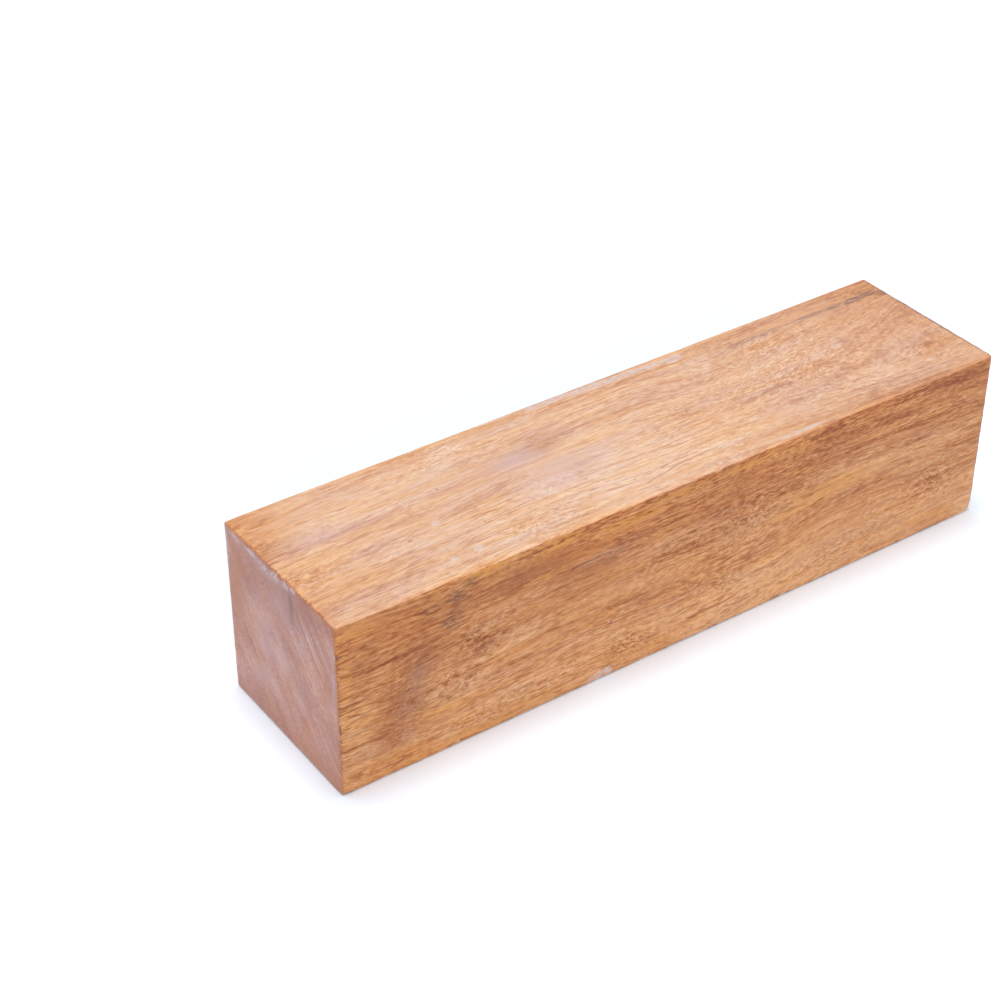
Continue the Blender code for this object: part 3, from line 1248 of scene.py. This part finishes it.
# Where the saw's marks still show through the wax.
SAWN = marks(
    on_end,
    (60, 18, 18, 26, 1), (44, 32, 16, 22, 0.6), (66, 64, 20, 18, 0.8), (14, 48, 12, 12, 0.6),
    deep=6,
)
END_DARKER = marks(
    on_end,
    (38, 2, 90, 18, 1.3), (10, 10, 18, 22, 1.15), (41, 12, 12, 10, 0.7), (53, 44, 11, 34, 0.6),
    (66, 14, 14, 16, 0.4),
    deep=6,
)
waxed_end, board, shader = new_material("waxed_end")
position = stick_position(board)
ragged = board.strayed(position, pitch=(9, 7, 7), reach=(2, 8, 8), seed=2.3, detail=3)
frayed = board.strayed(position, pitch=(3, 1.4, 1.4), reach=(1, 1.6, 1.6), seed=7.3, detail=3)
slanted = board.node("ShaderNodeMapping", {"Vector": position, "Rotation": (SAW_SLANT, 0.0, 0.0)}).outputs[0]
ripples = board.noise(slanted, pitch=(FLAT, 2.0, 30), seed=3.7, detail=2)
bands = board.noise(slanted, pitch=(FLAT, 8, 60), seed=5.1, detail=1)
clouds = board.noise(position, pitch=(FLAT, 22, 22), seed=9.9, detail=2, roughness=0.45)
grit = board.noise(position, pitch=(20, 1.1, 1.1), seed=12.1, detail=3, roughness=0.6)
clearer = board.times(spots(board, ragged, SAWN), SAW_MARKS_CLEARER_BY)
saw_marks = board.plus(SAW_MARKS_FAINT, clearer)
layers = ((ripples, saw_marks), (bands, 0.45), (clouds, 0.65), (grit, 0.95))
tone = add_layers(board, END_MEAN_TONE, layers)
tone = board.minus(tone, board.times(spots(board, ragged, END_DARKER), END_DARKER_BY))
colour = ramp(board, tone, ((0.15, END_DEEP), (0.5, END_HAZE), (0.85, END_MILK)))
print("sawn and darker patches:", len(SAWN), "and", len(END_DARKER))

# %% [markdown]
# Through thin wax the wood glows orange, thick wax is milky, and in between it looks lavender. A noise of
# its own makes the hue a little warmer here and cooler there.

# %% Waxed ends: orange, milk and lavender
END_ORANGE = srgb(187, 118, 78)
END_LAVENDER = srgb(178, 138, 143)
END_WARMER = (1.03, 0.98, 0.84, 1.0)
END_COOLER = (0.95, 0.98, 1.1, 1.0)
ORANGE = marks(
    on_end,
    (9, 18, 9, 18, 0.9), (5, 30, 8, 12, 0.8), (60, 74, 44, 20, 0.8), (70, 20, 10, 24, 0.5),
    (4, 56, 9, 5, 0.6), (36, 66, 30, 12, 0.5),
    deep=6,
)
MILKY = marks(
    on_end,
    (24, 40, 12, 12, 0.9), (27, 27, 9, 9, 0.7), (38, 39, 9, 9, 0.8), (48, 50, 8, 8, 0.6),
    (18, 58, 4, 6, 0.8), (23, 53, 13, 10, 0.7), (68, 56, 10, 12, 0.5), (73, 33, 3.5, 20, 0.7),
    (30, 4, 24, 4, 0.6),
    deep=6,
)
LAVENDERS = marks(
    on_end,
    (40, 12, 15, 13, 0.9), (46, 42, 13, 10, 0.7), (27, 30, 8, 11, 0.6), (34, 4, 28, 5, 0.7),
    (72, 26, 5, 18, 0.6), (18, 60, 5, 8, 0.7),
    deep=6,
)
colour = board.coat(colour, END_ORANGE, spots(board, ragged, ORANGE), share=0.85)
colour = board.coat(colour, END_MILK, spots(board, ragged, MILKY), share=0.6)
colour = board.coat(colour, END_LAVENDER, spots(board, ragged, LAVENDERS), share=0.55)
drift = board.noise(position, pitch=(FLAT, 10, 10), seed=14.3, detail=3, roughness=0.55)
colour = board.tint(colour, END_WARMER, board.rise(drift, 0.5, 0.68))
colour = board.tint(colour, END_COOLER, board.rise(drift, 0.5, 0.32))
print("orange, milky and lavender patches:", len(ORANGE), len(MILKY), len(LAVENDERS))

# %% [markdown]
# At the arrises the wax has rubbed off and the bare wood shows as an uneven orange rim. Below the upper
# arris it lies in thick white crumbs. Two fine cracks, a speck of gold and a speck of dirt go over
# everything.

# %% Waxed ends: rim, thick wax, cracks and specks
END_RIM = srgb(180, 113, 68)
END_WAX_WHITE = srgb(216, 199, 204)
END_CRACK = srgb(104, 74, 66)
RIM_RAGGEDNESS = 2.4
END_WAX = marks(
    on_end,
    (8, 2.2, 12, 2.8, 0.35), (20, 2.2, 10, 2.6, 0.5), (28, 2.6, 5, 2.4, 0.9), (36, 2.2, 5, 2.6, 1),
    (43, 1.8, 4, 2.2, 0.9), (48, 1.2, 4, 1.5, 0.7), (32, 3.4, 14, 2.6, 0.4), (1.6, 10, 1.8, 18, 0.6),
    (1.4, 40, 1, 40, 0.3), (73, 24, 1, 14, 0.35), (30, 74, 30, 0.9, 0.3),
    deep=4,
)
END_CRACKS = marks(
    on_end,
    (46.5, 9, 2.4, 12, 0.75), (5, 54, 6, 0.8, 0.5),
    deep=4,
)
END_GOLD_SPECK = marks(on_end, (52, 19, 1.6, 1.3, 0.9), deep=3)
END_DIRT_SPECK = marks(on_end, (27, 11, 1.5, 0.9, 0.9), deep=3)
edges = board.group("Edges", Position=position)
rim_noise = board.noise(position, pitch=(6, 3, 3), seed=3.3, detail=3, roughness=0.7)
rim = board.plus(edges["From arris"], board.times(rim_noise, RIM_RAGGEDNESS))
colour = board.coat(colour, END_RIM, board.rise(rim, 2.1, 1.1, to=0.85))
wax_mottle = board.noise(position, pitch=(1.6, 1.0, 1.0), seed=23.0, detail=3)
smear = board.rise(spots(board, frayed, END_WAX), 0.1, 0.5)
smear = board.times(smear, board.rise(wax_mottle, 0.3, 0.66, to=0.85))
colour = board.coat(colour, END_WAX_WHITE, smear)
colour = board.coat(colour, END_CRACK, spots(board, frayed, END_CRACKS), share=0.7)
colour = board.coat(colour, GOLD, spots(board, frayed, END_GOLD_SPECK))
colour = board.coat(colour, END_CRACK, spots(board, frayed, END_DIRT_SPECK))
print("patches of thick wax:", len(END_WAX))

# %% [markdown]
# The wax has a soft sheen, a little more of it where it lies thick. Its relief is the saw's ripples, the
# clouds of the film and the crumbs. Then the faces that look along X get this material, and all others keep
# the first.

# %% Waxed ends: sheen and relief
WAX_ROUGHNESS = 0.5
CLOUD_SHEEN = 0.15
CLOUD_RELIEF = 1.2
CRUMB_RELIEF = 1.5
END_FACE_SLOPE = 0.6
WAXED = 1
roughness = board.minus(WAX_ROUGHNESS, board.times(clouds, CLOUD_SHEEN))
relief = board.plus(ripples, board.times(clouds, CLOUD_RELIEF))
relief = board.plus(relief, board.times(smear, CRUMB_RELIEF))
finish_material(board, shader, colour, roughness, relief=relief, depth=0.08 * MM, strength=0.6)
stick.data.materials.append(waxed_end)

bpy.context.view_layer.objects.active = stick
bpy.ops.object.mode_set(mode="EDIT")
choose(stick, "FACE", lambda face: abs(face.normal.x) > END_FACE_SLOPE)
stick.active_material_index = WAXED
bpy.ops.object.material_slot_assign()
bpy.ops.object.mode_set(mode="OBJECT")
print("waxed faces:", sum(face.material_index == WAXED for face in stick.data.polygons))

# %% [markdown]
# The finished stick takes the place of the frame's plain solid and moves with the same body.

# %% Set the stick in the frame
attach(stick, "root")
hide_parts("blank")
print(stick.name, "stands for the blank")

# %% [markdown]
# The second must lie inside the first, because the looks may not change the size of the part.
